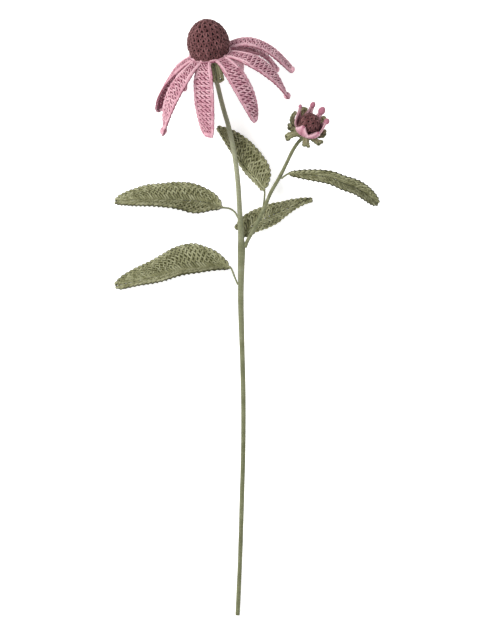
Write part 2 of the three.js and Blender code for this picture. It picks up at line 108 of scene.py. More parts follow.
class Shader:
    """A principled material with short helpers for its nodes."""

    def __init__(self, name):
        self.material = bpy.data.materials.new(name)
        self.material.use_nodes = True
        self.tree = self.material.node_tree
        self.surface = self.tree.nodes["Principled BSDF"]

    def node(self, kind, **values):
        made = self.tree.nodes.new(kind)
        for key, value in values.items():
            setattr(made, key, value)
        return made

    def link(self, source, target):
        self.tree.links.new(source, target)

    def feed(self, socket, value):
        if isinstance(value, bpy.types.NodeSocket):
            self.link(value, socket)
        else:
            socket.default_value = value

    def math(self, operation, *values):
        made = self.node("ShaderNodeMath", operation=operation)
        for socket, value in zip(made.inputs, values):
            self.feed(socket, value)
        return made.outputs[0]

    def mix(self, share, first, second):
        made = self.node("ShaderNodeMix", data_type="RGBA")
        self.feed(made.inputs[0], share)
        self.feed(made.inputs[6], first)
        self.feed(made.inputs[7], second)
        return made.outputs[2]

    def noise(self, scale, detail, vector=None):
        made = self.node("ShaderNodeTexNoise")
        made.inputs["Scale"].default_value = scale
        made.inputs["Detail"].default_value = detail
        if vector is None:
            vector = self.node("ShaderNodeTexCoord").outputs["Object"]
        self.link(vector, made.inputs["Vector"])
        return made.outputs["Fac"]

    def ramp(self, value, low, high):
        made = self.node("ShaderNodeMapRange")
        for socket, given in zip(made.inputs, (value, low, high, 0.0, 1.0)):
            self.feed(socket, given)
        return made.outputs[0]

    def bump(self, height, strength, distance):
        made = self.node("ShaderNodeBump")
        made.inputs["Strength"].default_value = strength
        made.inputs["Distance"].default_value = distance
        self.link(height, made.inputs["Height"])
        self.link(made.outputs["Normal"], self.surface.inputs["Normal"])

    def finish(self, colour, values):
        """Gives the surface its colour and sets its other inputs."""
        self.link(colour, self.surface.inputs["Base Color"])
        for key, value in values.items():
            self.surface.inputs[key].default_value = value
        return self.material


def linear(rgb):
    """An sRGB colour of 0 to 255 as a linear colour with alpha."""
    return (*(((c / 255 + 0.055) / 1.055) ** 2.4 for c in rgb), 1.0)


UV_NAME = "Yarn"
PLIES = 3

# How much each cause adds to the shade of a yarn, and the scales of the fibres and of the patches
PLY_SHARE = 0.32
TONE_SHARE = 0.45
FIBRE_SHARE = 0.23
PATCH_SHARE = 0.4
FIBRE_SCALE = 2600.0
PATCH_SCALE = 45.0

# The range of the attribute crown over which the painted shade gives way to the yarn's colour
PAINTED_SHADE_RANGE = (0.05, 0.8)
BUMP_DEPTH = 0.0003


def yarn_material(name, painted_shade, dark, middle, light):
    """Plied cotton. The UV map gives turns of ply along the yarn and the way round it. The attribute tone is
    a shade for each stitch, and crown is low on the flanks of the yarn and where it dives into the fabric,
    where the colour turns to painted shade."""
    shader = Shader(name)
    uv = shader.node("ShaderNodeUVMap", uv_map=UV_NAME).outputs[0]
    split = shader.node("ShaderNodeSeparateXYZ")
    shader.link(uv, split.inputs[0])
    turns = shader.math("ADD", split.outputs["X"], split.outputs["Y"])
    wave = shader.math("SINE", shader.math("MULTIPLY", turns, 2 * math.pi * PLIES))
    ply = shader.ramp(wave, -1.0, 0.6)
    fibre = shader.noise(FIBRE_SCALE, detail=3.0)
    patch = shader.noise(PATCH_SCALE, detail=2.0)
    tone = shader.node("ShaderNodeAttribute", attribute_name="tone").outputs["Fac"]
    crown = shader.node("ShaderNodeAttribute", attribute_name="crown").outputs["Fac"]
    fibres = shader.ramp(fibre, 0.3, 0.7)
    patches = shader.math("SUBTRACT", patch, 0.5)
    shade = shader.math("MULTIPLY", ply, PLY_SHARE)
    for cause, share in ((tone, TONE_SHARE), (fibres, FIBRE_SHARE), (patches, PATCH_SHARE)):
        shade = shader.math("ADD", shade, shader.math("MULTIPLY", cause, share))
    low = shader.mix(shader.ramp(shade, 0.05, 0.5), linear(dark), linear(middle))
    colour = shader.mix(shader.ramp(shade, 0.5, 1.0), low, linear(light))
    # Painted shade: the yarn's colour gives way to the darkest colour where crown is low
    shown = shader.mix(shader.ramp(crown, *PAINTED_SHADE_RANGE), linear(painted_shade), colour)
    height = shader.math("ADD", ply, shader.math("MULTIPLY", fibre, 0.5))
    shader.bump(height, strength=0.6, distance=BUMP_DEPTH)
    finish = {"Roughness": 0.85, "Specular IOR Level": 0.2, "Sheen Weight": 0.08, "Sheen Roughness": 0.5}
    return shader.finish(shown, finish)


CORE_FIBRE_SCALE = 900.0
CORE_SHADOW = 0.6


def shade_core_material(name, rgb):
    """Painted shade: a dark inside of the fabric, seen only between stitches."""
    shader = Shader(name)
    fibre = shader.noise(CORE_FIBRE_SCALE, detail=3.0)
    painted_shade = tuple(c * CORE_SHADOW for c in rgb)
    shader.bump(fibre, strength=0.5, distance=BUMP_DEPTH)
    colour = shader.mix(fibre, linear(painted_shade), linear(rgb))
    return shader.finish(colour, {"Roughness": 1.0, "Specular IOR Level": 0.05})


# The looks of each slot. Colours of a yarn: painted shade between the strands, then dark, middle and light.
YARNS = {
    "leaf_yarn": yarn_material("leaf yarn", (36, 36, 12), (88, 88, 54), (144, 144, 106), (200, 200, 166)),
    "stem_yarn": yarn_material("stem yarn", (70, 73, 40), (112, 115, 82), (150, 153, 119), (186, 188, 158)),
    "pink_yarn": yarn_material("pink yarn", (116, 50, 68), (172, 106, 126), (218, 162, 177), (252, 216, 224)),
    "cone_yarn": yarn_material("cone yarn", (40, 12, 14), (68, 33, 35), (108, 66, 67), (158, 110, 112)),
}
# Dark sheets inside the fabric: painted shade seen between the stitches
SHADE_CORES = {
    "leaf_yarn": shade_core_material("leaf shade core", (94, 94, 60)),
    "pink_yarn": shade_core_material("pink shade core", (140, 72, 92)),
    "cone_yarn": shade_core_material("cone shade core", (46, 18, 20)),
}

# Curves


def smooth(points, samples=24):
    """Close points along a centripetal spline through the given points."""
    p = np.array(points, float)
    p = np.vstack([2 * p[0] - p[1], p, 2 * p[-1] - p[-2]])
    t = np.linspace(0, 1, samples, endpoint=False)[:, None]
    line = []
    for a, b, c, d in zip(p, p[1:], p[2:], p[3:]):
        ka, kb, kc = (math.sqrt(np.linalg.norm(v)) for v in (b - a, c - b, d - c))
        from_b = kb * ((b - a) / ka - (c - a) / (ka + kb) + (c - b) / kb)
        to_c = kb * ((c - b) / kb - (d - b) / (kb + kc) + (d - c) / kc)
        line.append(hermite(b, c, from_b, to_c, t))
    return np.vstack([*line, p[-2]])


def hermite(a, b, slope_a, slope_b, t):
    blend = 3 * t**2 - 2 * t**3
    return (1 - blend) * a + blend * b + (t**3 - 2 * t**2 + t) * slope_a + (t**3 - t**2) * slope_b


def lengths_along(line):
    return np.concatenate([[0], np.cumsum(np.linalg.norm(np.diff(line, axis=0), axis=1))])


def looked_up(table, along, wanted):
    """Rows of a table at the wanted lengths, where along has the length of each of its rows."""
    return np.stack([np.interp(wanted, along, table[:, k]) for k in range(3)], axis=-1)


def at_lengths(line, wanted):
    return looked_up(line, lengths_along(line), wanted)


def evenly(line, count):
    return at_lengths(line, np.linspace(0, lengths_along(line)[-1], count))


def through(stations, column, at):
    """A smooth value through stations of [position, value, ...], read from the given column."""
    stations = np.array(stations, float)
    x, y = stations[:, 0], stations[:, column]
    last = len(x) - 1
    k = np.clip(np.searchsorted(x, at, side="left") - 1, 0, last - 1)
    step = x[k + 1] - x[k]
    before, after = np.maximum(k - 1, 0), np.minimum(k + 2, last)
    slope_from = (y[k + 1] - y[before]) / (x[k + 1] - x[before]) * step
    slope_to = (y[after] - y[k]) / (x[after] - x[k]) * step
    return hermite(y[k], y[k + 1], slope_from, slope_to, (at - x[k]) / step)


def bezier(a, b, c, d, t):
    return (1 - t) ** 3 * a + 3 * (1 - t) ** 2 * t * b + 3 * (1 - t) * t**2 * c + t**3 * d


def unit(v):
    return v / np.maximum(np.linalg.norm(v, axis=-1, keepdims=True), 1e-9)


def heading(line):
    return unit(np.gradient(line, axis=0))


# Yarn and its meshes. Lengths and radii are in millimetres.

# The rounded end of a cord, in shares of its radius: how far it reaches and how narrow it ends
CAP = 0.5
CAP_END = 0.12

# The length of yarn in which its plies turn once
TURN_OF_PLY = 2.6
STRAND_SIDES = 6
CORD_SIDES = 8
CORD_TONE = 0.6


class Yarn:
    """Collects tubes of yarn and makes one mesh of them."""

    def __init__(self):
        self.points, self.quads, self.uvs, self.tones, self.crowns = [], [], [], [], []
        self.count = 0

    def add(self, paths, radius, sides=STRAND_SIDES, tone=None, up=None, lit=1.0):
        """paths is (strands, points, 3), and radius a number or one for each point. Where up, the way out of
        the fabric, is given, the flanks get painted shade, and lit is the share of painted light along each
        strand."""
        paths = np.asarray(paths, float)
        strands, steps, _ = paths.shape
        tangent = unit(np.gradient(paths, axis=1))
        if up is None:
            normal = carried(tangent)
        else:
            up = np.broadcast_to(up, paths.shape)
            normal = unit(up - tangent * np.sum(up * tangent, axis=-1, keepdims=True))
        side = np.cross(tangent, normal)
        angle = 2 * np.pi * (np.arange(sides) + 0.5) / sides
        reach = np.broadcast_to(radius, (strands, steps))[..., None, None]
        ring = normal[:, :, None] * np.cos(angle)[:, None] + side[:, :, None] * np.sin(angle)[:, None]
        points = paths[:, :, None] + ring * reach
        # crown carries painted shade: low on the flanks of a strand and where lit is low
        facing = np.ones(ring.shape[:3]) if up is None else np.abs(np.sum(ring * up[:, :, None], axis=-1))
        crown = facing * np.broadcast_to(lit, (strands, steps))[..., None]
        gaps = np.linalg.norm(np.diff(paths, axis=1), axis=2)
        along = np.concatenate([np.zeros((strands, 1)), np.cumsum(gaps, axis=1)], axis=1)
        base = self.count + np.arange(strands * steps * sides).reshape(strands, steps, sides)
        after = np.roll(base, -1, axis=2)
        quads = np.stack([base[:, :-1], after[:, :-1], after[:, 1:], base[:, 1:]], axis=-1)
        u = np.broadcast_to((along / TURN_OF_PLY)[:, :, None], (strands, steps, sides))
        v = np.broadcast_to(np.arange(sides) / sides, (strands, steps, sides))
        u0, u1, v0 = u[:, :-1], u[:, 1:], v[:, :-1]
        v1 = v0 + 1 / sides
        if tone is None:
            tone = rng.uniform(0, 1, strands)
        self.points.append(points.reshape(-1, 3))
        self.quads.append(quads.reshape(-1, 4))
        self.uvs.append(corner_uvs((u0, v0), (u0, v1), (u1, v1), (u1, v0)))
        self.tones.append(np.repeat(np.broadcast_to(tone, strands), steps * sides))
        self.crowns.append(crown.ravel())
        self.count += strands * steps * sides

    def cord(self, line, radius, tone=CORD_TONE, up=None, sides=CORD_SIDES):
        """One cord with rounded ends. radius is a number or one for each point of the line."""
        radius = np.broadcast_to(radius, len(line))
        first = line[0] - unit(line[1] - line[0]) * radius[0] * CAP
        last = line[-1] + unit(line[-1] - line[-2]) * radius[-1] * CAP
        line = np.vstack([first, line, last])
        radius = np.concatenate([[radius[0] * CAP_END], radius, [radius[-1] * CAP_END]])
        if up is not None:
            up = np.broadcast_to(up, (len(line) - 2, 3))
            up = np.vstack([up[:1], up, up[-1:]])[None]
        self.add(line[None], radius[None], sides, tone, up=up)

    def mesh(self):
        values = {"tone": np.concatenate(self.tones), "crown": np.concatenate(self.crowns)}
        return mesh_of(np.vstack(self.points), np.vstack(self.quads), np.vstack(self.uvs), values)


def corner_uvs(*corners):
    return np.stack([np.stack(c, -1) for c in corners], axis=-2).reshape(-1, 2)


def carried(tangent):
    """Normals carried along strands without twist."""
    guide = np.where(np.abs(tangent[:, :1, 2:]) < 0.8, [0, 0, 1.0], [1.0, 0, 0])[:, 0]
    normal = np.empty_like(tangent)
    normal[:, 0] = unit(guide - tangent[:, 0] * np.sum(guide * tangent[:, 0], -1, keepdims=True))
    for i in range(1, tangent.shape[1]):
        last = normal[:, i - 1]
        normal[:, i] = unit(last - tangent[:, i] * np.sum(last * tangent[:, i], -1, keepdims=True))
    return normal


def mesh_of(points, quads, uvs=None, values=None):
    mesh = bpy.data.meshes.new("fabric")
    mesh.vertices.add(len(points))
    mesh.vertices.foreach_set("co", (points * MM).astype(np.float32).ravel())
    mesh.loops.add(quads.size)
    mesh.loops.foreach_set("vertex_index", quads.astype(np.int32).ravel())
    mesh.polygons.add(len(quads))
    mesh.polygons.foreach_set("loop_start", np.arange(0, quads.size, 4, dtype=np.int32))
    mesh.update(calc_edges=True)
    if uvs is not None:
        layer = mesh.uv_layers.new(name=UV_NAME)
        layer.data.foreach_set("uv", uvs.astype(np.float32).ravel())
    for key, value in (values or {}).items():
        attribute = mesh.attributes.new(key, "FLOAT", "POINT")
        attribute.data.foreach_set("value", value.astype(np.float32))
    mesh.shade_smooth()
    return mesh


def show(name, mesh, looks, slot, *nodes):
    mesh.materials.append(looks[slot])
    piece = placed(name, mesh)
    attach(piece, "root")
    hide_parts(*nodes)
    return piece


ROW_SAMPLES = 200


class Surface:
    """A sheet given by a grid of points over s, from root to tip, and q, across."""

    def __init__(self, grid, s, q):
        self.grid, self.s, self.q = grid, s, q
        along, across = np.gradient(grid, axis=0), np.gradient(grid, axis=1)
        self.normals = unit(np.cross(along, across))

    def read(self, table, s, q):
        s, q = np.broadcast_arrays(s, q)
        i = np.interp(s, self.s, np.arange(len(self.s)))
        j = np.interp(q, self.q, np.arange(len(self.q)))
        i0 = np.minimum(i.astype(int), len(self.s) - 2)
        j0 = np.minimum(j.astype(int), len(self.q) - 2)
        a, b = (i - i0)[..., None], (j - j0)[..., None]
        low = table[i0, j0] * (1 - b) + table[i0, j0 + 1] * b
        high = table[i0 + 1, j0] * (1 - b) + table[i0 + 1, j0 + 1] * b
        return low * (1 - a) + high * a

    def at(self, s, q, z=0.0):
        """Points at the height z over the sheet."""
        return self.read(self.grid, s, q) + self.out(s, q) * np.asarray(z)[..., None]

    def out(self, s, q):
        return unit(self.read(self.normals, s, q))

    def half(self, side, s):
        """The real width of one side, from the middle to the edge."""
        return np.linalg.norm(self.at(s, side) - self.at(s, 0), axis=-1)

    def row(self, q, start, end, pitch):
        """Values of s at the stitches of a row along the line q, which may vary with s."""
        s = np.linspace(start, end, ROW_SAMPLES)
        line = self.at(s, q(s))
        along = lengths_along(line)
        count = max(int(round(along[-1] / pitch)), 2)
        return s, along / along[-1] * count, count


STEPS_A_SPAN = 3


def rounded(points):
    """Rows of (strands, points, values) made smooth, with a few steps between two points."""
    padded = np.concatenate(
        [2 * points[:, :1] - points[:, 1:2], points, 2 * points[:, -1:] - points[:, -2:-1]], axis=1
    )
    a, b, c, d = padded[:, :-3], padded[:, 1:-2], padded[:, 2:-1], padded[:, 3:]
    t = (np.arange(STEPS_A_SPAN) / STEPS_A_SPAN)[:, None]
    spans = hermite(
        b[:, :, None], c[:, :, None], ((c - a) / 2)[:, :, None], ((d - b) / 2)[:, :, None], t
    )
    return np.concatenate([spans.reshape(len(points), -1, points.shape[-1]), points[:, -1:]], axis=1)


# Stitches, as control points (x along the row in stitches, y across the band, z out of the fabric in mm).
# A leg is one half of a V, and its other half is mirrored in x. A post is one slanted strand. The legs of a
# chain and the teeth of an edge have y in widths of the chain, to either side of its line.

LEG = [(0.02, -0.12, -0.4), (0.08, 0.12, 0.25), (0.22, 0.45, 0.42), (0.4, 0.78, 0.3), (0.5, 1.04, -0.3)]
SLIM_LEG = [(0.05, -0.1, -0.4), (0.12, 0.16, 0.2), (0.22, 0.5, 0.42), (0.33, 0.8, 0.3), (0.42, 1.05, -0.3)]
DOME_LEG = [(0.03, -0.05, -0.5), (0.1, 0.22, 0.3), (0.19, 0.5, 0.5), (0.31, 0.78, 0.35), (0.43, 1.0, -0.4)]
POST = [(0.0, -0.08, -0.4), (0.25, 0.18, 0.2), (0.45, 0.5, 0.42), (0.65, 0.82, 0.2), (0.9, 1.08, -0.4)]
CHAIN = [
    [(-0.35, 0.06, -0.5), (0.1, 0.22, 0.2), (0.5, 0.42, 0.42), (0.9, 0.36, 0.2), (1.25, 0.1, -0.45)],
    [(-0.35, -0.06, -0.5), (0.1, -0.22, 0.2), (0.5, -0.42, 0.42), (0.9, -0.36, 0.2), (1.25, -0.1, -0.45)],
]
TEETH = [
    [(-0.3, -0.5, -0.5), (0.0, -0.15, 0.2), (0.33, 0.18, 0.45), (0.65, 0.28, 0.2), (0.9, 0.2, -0.5)],
    [(-0.15, 0.05, -0.5), (0.15, -0.15, 0.1), (0.5, -0.45, 0.2), (0.85, -0.65, 0.1), (1.1, -0.8, -0.5)],
]

# Painted shade: a strand is dark at the deepest of these heights over the fabric and in full painted light
# from the highest
DEEPEST = -0.55
HIGHEST = 0.3

# Strands differ in thickness by these factors
STRAND_SPREAD = (0.92, 1.08)
CHAIN_SPREAD = (0.94, 1.06)
LEAST_THICKNESS = 0.65


def lay(yarn, places, ups, depths, radius, tone=None):
    """Strands through control points (strands, points, 3), with painted shade where they dive into the fabric.
    """
    table = rounded(np.concatenate([places, ups, depths[..., None]], axis=-1))
    lit = np.clip((table[..., 6] - DEEPEST) / (HIGHEST - DEEPEST), 0, 1)
    yarn.add(table[..., :3], radius, tone=tone, up=unit(table[..., 3:6]), lit=lit)


def stitch_row(yarn, surface, inner, outer, pitch, shape, radius, mirror, lean, ends):
    """A row of stitches along a sheet, between its lines q = inner(s) and q = outer(s)."""
    s_line, x_line, count = surface.row(lambda s: (inner(s) + outer(s)) / 2, *ends, pitch)
    shape = np.array(shape)
    centres = np.arange(count) + 0.5
    middle = np.interp(centres, x_line, s_line)
    tall = np.linalg.norm(surface.at(middle, outer(middle)) - surface.at(middle, inner(middle)), axis=-1)
    thick = radius * np.clip(tall / pitch, LEAST_THICKNESS, 1)
    for side in (1, -1) if mirror else (1,):
        x = centres[:, None] + side * shape[:, 0] + lean * (shape[:, 1] - 0.5)
        s = np.interp(x, x_line, s_line)
        q = inner(s) + (outer(s) - inner(s)) * shape[:, 1]
        depth = shape[:, 2] + 0 * s
        places = surface.at(s, q, depth) + rng.normal(0, WOBBLE, (*s.shape, 3))
        strand = (thick * rng.uniform(*STRAND_SPREAD, count))[:, None]
        lay(yarn, places, surface.out(s, q), depth, strand, rng.uniform(0, 1, count))


def chain_row(yarn, line, out, up, pitch, width, radius, legs=CHAIN):
    """A row of loops along a line. out is the way across it, and up the way out of the fabric."""
    along = lengths_along(line)
    count = max(int(round(along[-1] / pitch)), 2)
    for leg in legs:
        shape = np.array(leg)
        x = np.clip((np.arange(count)[:, None] + shape[:, 0]) / count, 0, 1) * along[-1]
        place, across, lift = (looked_up(table, along, x) for table in (line, out, up))
        depth = shape[:, 2] + 0 * x
        places = place + across * (width * shape[:, 1])[None, :, None] + lift * depth[..., None]
        places = places + rng.normal(0, WOBBLE, places.shape)
        lay(yarn, places, lift, depth, (radius * rng.uniform(*CHAIN_SPREAD, count))[:, None])


# An edge's row runs over this span of s and then to the middle
EDGE_SPAN = (0.02, 0.985)
TIP_SAMPLES = 6
LEAST_EDGE = 0.25


def edge_row(yarn, surface, inset, pitch, width, radius, legs):
    """A row of loops along each edge of a sheet, an inset in millimetres from it, from root to tip."""
    for side in (1, -1):
        s = np.linspace(*EDGE_SPAN, 80)
        q = side * np.maximum(1 - inset / surface.half(side, s), LEAST_EDGE)
        q = np.concatenate([q, np.linspace(q[-1], 0, TIP_SAMPLES + 1)[1:]])
        s = np.concatenate([s, np.full(TIP_SAMPLES, EDGE_SPAN[1])])
        line, up = surface.at(s, q), surface.out(s, q)
        out = side * unit(np.cross(up, heading(line)))
        chain_row(yarn, line, out, up, pitch, width, radius, legs)


def middle_row(yarn, surface, pitch, width, radius, ends):
    s = np.linspace(*ends, ROW_SAMPLES // 2)
    line, up = surface.at(s, 0), surface.out(s, 0)
    chain_row(yarn, line, unit(np.cross(up, heading(line))), up, pitch, width, radius)


# The least width of a band in millimetres, and the share of the half width that it reaches at most
LEAST_BAND = 0.5
WIDEST_BAND = 0.95


def band_line(surface, side, share, rib, edge):
    """The line at a share of the way from the middle chain to the edge's, as a function of s."""
    half = surface.half(side, surface.s)
    reach = rib + share * np.maximum(half - rib - edge, LEAST_BAND)
    q = side * np.minimum(reach / half, WIDEST_BAND)
    return lambda s: np.interp(s, surface.s, q)


def sheet_stations(along, across):
    """Even values of s from root to tip, and of q from edge to edge."""
    return np.linspace(0, 1, along), np.linspace(-1, 1, across)


def core_sheet(surface, half, s_range, q_range, rows=40, cols=10):
    """A thin closed sheet inside the fabric. half is half its thickness."""
    s, q = np.meshgrid(np.linspace(*s_range, rows), np.linspace(*q_range, cols), indexing="ij")
    top, under = surface.at(s, q, half), surface.at(s, q, -half)
    points = np.concatenate([top.reshape(-1, 3), under.reshape(-1, 3)])
    grid = np.arange(rows * cols).reshape(rows, cols)
    low = grid + rows * cols
    faces = [np.stack([grid[:-1, :-1], grid[1:, :-1], grid[1:, 1:], grid[:-1, 1:]], -1).reshape(-1, 4)]
    faces.append(np.stack([low[:-1, :-1], low[:-1, 1:], low[1:, 1:], low[1:, :-1]], -1).reshape(-1, 4))
    rim = np.concatenate([grid[:, 0], grid[-1, 1:], grid[-2::-1, -1], grid[0, -2:0:-1]])
    under_rim = rim + rows * cols
    faces.append(np.stack([rim, under_rim, np.roll(under_rim, -1), np.roll(rim, -1)], -1))
    return points, np.concatenate(faces)


def show_fabric(name, yarn, sheets, slot, node):
    """The stitches of a piece of fabric, and the dark sheets inside it as painted shade, given as (points,
    quads).
    """
    show(f"{name}_stitches", yarn.mesh(), YARNS, slot, node)
    points = [sheet_points for sheet_points, _ in sheets]
    firsts = np.cumsum([0, *map(len, points)])
    quads = [sheet_quads + first for first, (_, sheet_quads) in zip(firsts, sheets)]
    show(f"{name}_core", mesh_of(np.vstack(points), np.vstack(quads)), SHADE_CORES, slot, node)


class Head:
    """The frame of a flower head: Z out of its top, X level and to the right, Y to the back."""

    def __init__(self, origin, axis):
        up = unit(np.array(axis, float))
        right = unit(np.array([up[1], -up[0], 0.0]))
        self.turn = np.stack([right, np.cross(up, right), up])
        self.origin = np.array(origin, float)

    def place(self, points):
        return np.asarray(points, float) @ self.turn + self.origin

    def on_axis(self, height):
        return self.place([0, 0, height])


bloom = Head([-28.1, 199, 48], [-0.165, 0.85, 0.5])
bud = Head([42.7, 138.3, 33.6], [0.337, 0.662, 0.669])


def polar(radius, degrees, height):
    angle = np.radians(degrees)
    return np.stack(np.broadcast_arrays(radius * np.cos(angle), radius * np.sin(angle), height), axis=-1)


# Stem, side shoot and leaf wires: fine yarn wound tightly round wire

WRAP_PITCH = 1.05
WRAP_DEPTH = 0.16
WRAP_WOBBLE = 0.05
WOBBLES = 40
WRAP_SIDES = 12
STEPS_A_TURN = 4
WIDTH_OF_PLY = 1.3
TONES = 90
TONE_SPREAD = (0.1, 0.8)
# In the grooves between the turns the winding has painted shade, with this share of the light left
GROOVE_LIGHT = 0.25

STEM_POINTS = [
    [-7.5, -224.6, 1.8], [-6.5, -203.6, 3.5], [-5.3, -173.6, 5.8], [-4.2, -136.1, 8.8], [-3.2, -98.6, 11.8],
    [-3.1, -61.1, 14.8], [-4.0, -23.6, 17.7], [-4.5, -8, 19.0], [-5.0, 13.9, 20.7], [-4.8, 36.4, 22.5],
    [-4.5, 51.4, 23.7], [-4.9, 61.9, 24.5], [-5.8, 79.9, 25.9], [-7.2, 102.4, 27.3], [-9.5, 121.1, 28.4],
    [-13.9, 142.9, 29.9], [-17.6, 155.6, 31.0], [-20.2, 165.4, 32.6], [-22.4, 174.4, 35.0],
    bloom.on_axis(-19), bloom.on_axis(-9.5), bloom.on_axis(-5.7),
]
BRANCH_POINTS = [
    [-1.9, 53.5, 24.0], [-0.2, 58.1, 24.4], [2.5, 63.1, 25.0], [8.2, 73.6, 26.3], [13.1, 84.1, 27.3],
    [17.5, 94.6, 27.9], [23.6, 105.2, 28.1], [28.9, 115.7, 28.1], [34.0, 126.2, 28.0], [37.6, 131.6, 28.9],
    bud.on_axis(-4), bud.on_axis(0),
]

# [y, radius]
WRAP_RADII = [
    [-225, 1.7], [-120, 1.8], [-20, 1.95], [-5, 2.2], [25, 2.35], [42, 2.7], [52, 2.9], [59, 2.5], [72, 1.95],
    [110, 1.9], [200, 1.85],
]
SHOOT_RADII = [[60, 1.5], [132, 1.38]]

# [y, added tone]. The stem's tone is lower towards its low end, and higher near the bloom as painted light
STEM_SHADE = [[-60, -0.45], [0, 0], [70, 0.1], [120, 1.2]]
PLAIN_SHADE = [[0, -0.2]]


def wrapped(name, line, radius, node, pitch, shade):
    """Yarn wound round a wire: a tube with a helical ridge, drawn as turns of ply along the winding."""
    length = lengths_along(line)[-1]
    steps = int(length / pitch * STEPS_A_TURN)
    centres = evenly(line, steps)
    along = np.linspace(0, length, steps)
    tangent = heading(centres)
    level = unit(np.cross(tangent, [0, 0, 1.0]))
    rise = np.cross(level, tangent)
    share = np.arange(WRAP_SIDES) / WRAP_SIDES
    angle = 2 * np.pi * share
    turns = along[:, None] / pitch + share
    strays = rng.uniform(-WRAP_WOBBLE, WRAP_WOBBLE, WOBBLES)
    wobble = np.interp(along, np.linspace(0, length, WOBBLES), strays)
    crown = np.abs(np.sin(np.pi * turns))
    reach = (radius(centres) + wobble)[:, None] + (crown - 1) * WRAP_DEPTH
    ring = level[:, None] * np.cos(angle)[:, None] + rise[:, None] * np.sin(angle)[:, None]
    points = centres[:, None] + ring * reach[..., None]
    base = np.arange(steps * WRAP_SIDES).reshape(steps, WRAP_SIDES)
    after = np.roll(base, -1, axis=1)
    quads = np.stack([base[:-1], base[1:], after[1:], after[:-1]], axis=-1).reshape(-1, 4)
    round_way = np.pi * 2 * np.mean(radius(centres)) / WIDTH_OF_PLY
    u0, u1 = turns[:-1] * round_way, turns[1:] * round_way
    step_u = round_way / WRAP_SIDES
    uvs = corner_uvs(*((u, 0 * u0) for u in (u0, u1, u1 + step_u, u0 + step_u)))
    tones = np.interp(along, np.linspace(0, length, TONES), rng.uniform(*TONE_SPREAD, TONES))
    # On the stem the shade table adds painted light near the bloom
    tones = np.repeat(tones + np.interp(centres[:, 1], *zip(*shade)), WRAP_SIDES)
    # crown paints shade into the grooves between the turns
    values = {"tone": tones, "crown": GROOVE_LIGHT + (1 - GROOVE_LIGHT) * crown.ravel()}
    show(name, mesh_of(points.reshape(-1, 3), quads, uvs, values), YARNS, "stem_yarn", node)


def stem_radius(centres):
    return through(WRAP_RADII, 1, centres[:, 1])


def shoot_radius(centres):
    return np.interp(centres[:, 1], *zip(*SHOOT_RADII))


wrapped("stem_winding", smooth(STEM_POINTS), stem_radius, "stem_wrap", WRAP_PITCH, STEM_SHADE)
wrapped("shoot_winding", smooth(BRANCH_POINTS), shoot_radius, "branch_wrap", WRAP_PITCH, PLAIN_SHADE)

# Leaves

